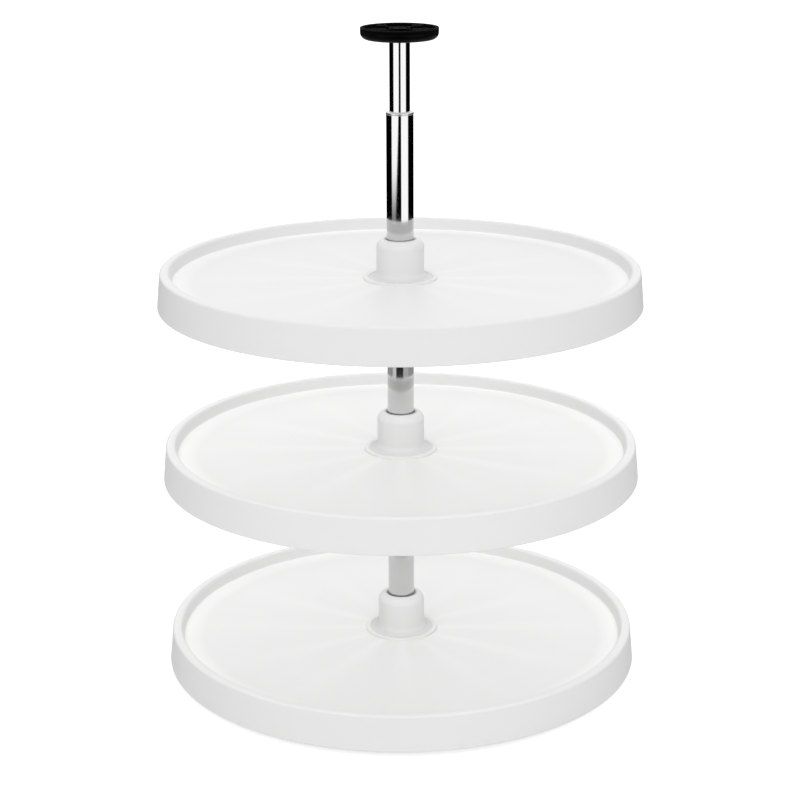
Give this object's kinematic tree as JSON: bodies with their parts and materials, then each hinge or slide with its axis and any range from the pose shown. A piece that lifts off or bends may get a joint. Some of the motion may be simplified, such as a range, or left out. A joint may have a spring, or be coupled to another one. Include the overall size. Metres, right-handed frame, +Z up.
{
  "type": "three-tier rotating shelf unit",
  "caption": "Round tiered shelves with low rims that turn on a telescoping chrome post, with a base plate below and a dished screw bracket on top, for a corner pantry.",
  "frame": {"origin": "centre of the base plate's underside, which stands on the cabinet floor", "axes": "+Z up the post, +X to the right and -Y towards the front, as the picture shows it"},
  "size_m": [0.457, 0.457, 0.617],
  "materials": {
    "white_plastic": "satin",
    "chrome": "polished",
    "black_plastic": "fine moulded grain",
    "natural_nylon": "satin",
    "dark_nylon": "matt",
    "zinc_steel": "zinc plated",
    "dark_steel": "black oxide"
  },
  "bodies": {
    "stand": {"base_plate": "zinc_steel", "base_spigot": "dark_nylon", "base_screw": "zinc_steel", "outer_post": "chrome", "post_guide_bush": "zinc_steel", "bottom_thrust_washer": "natural_nylon"},
    "bottom_tier": {"bottom_shelf": "white_plastic", "bottom_hub": "white_plastic", "bottom_hub_nut": "white_plastic", "bottom_hub_bush": "natural_nylon"},
    "middle_carrier": {"middle_collar": "zinc_steel", "middle_collar_screw": "dark_steel", "middle_thrust_washer": "natural_nylon"},
    "middle_tier": {"middle_shelf": "white_plastic", "middle_hub": "white_plastic", "middle_hub_nut": "white_plastic", "middle_hub_bush": "natural_nylon"},
    "top_carrier": {"top_collar": "zinc_steel", "top_collar_screw": "dark_steel", "top_thrust_washer": "natural_nylon"},
    "top_tier": {"top_shelf": "white_plastic", "top_hub": "white_plastic", "top_hub_nut": "white_plastic", "top_hub_bush": "natural_nylon"},
    "lock_slider": {"lock_sleeve": "natural_nylon"},
    "inner_column": {"inner_post": "chrome", "lock_core": "zinc_steel", "post_end_plug": "zinc_steel", "pivot_screw": "dark_steel"},
    "bracket": {"top_bracket": "black_plastic"}
  },
  "joints": [
    {"name": "bottom_shelf_spin", "type": "hinge", "parent": "stand", "child": "bottom_tier", "pos_m": [0, 0, 0.027], "axis": [0, 0, 1], "continuous": true},
    {"name": "middle_shelf_height", "type": "slide", "parent": "stand", "child": "middle_carrier", "axis": [0, 0, 1], "range_m": [-0.1, 0.04]},
    {"name": "middle_shelf_spin", "type": "hinge", "parent": "middle_carrier", "child": "middle_tier", "pos_m": [0, 0, 0.214], "axis": [0, 0, 1], "continuous": true},
    {"name": "top_shelf_height", "type": "slide", "parent": "stand", "child": "top_carrier", "axis": [0, 0, 1], "range_m": [-0.04, 0.1]},
    {"name": "top_shelf_spin", "type": "hinge", "parent": "top_carrier", "child": "top_tier", "pos_m": [0, 0, 0.383], "axis": [0, 0, 1], "continuous": true},
    {"name": "post_height", "type": "slide", "parent": "stand", "child": "lock_slider", "axis": [0, 0, 1], "range_m": [-0.05, 0.08]},
    {"name": "post_twist", "type": "hinge", "parent": "lock_slider", "child": "inner_column", "pos_m": [0, 0, 0.29], "axis": [0, 0, 1], "range_deg": [0, 180]},
    {"name": "bracket_swivel", "type": "hinge", "parent": "inner_column", "child": "bracket", "pos_m": [0, 0, 0.612], "axis": [0, 0, 1], "continuous": true}
  ]
}
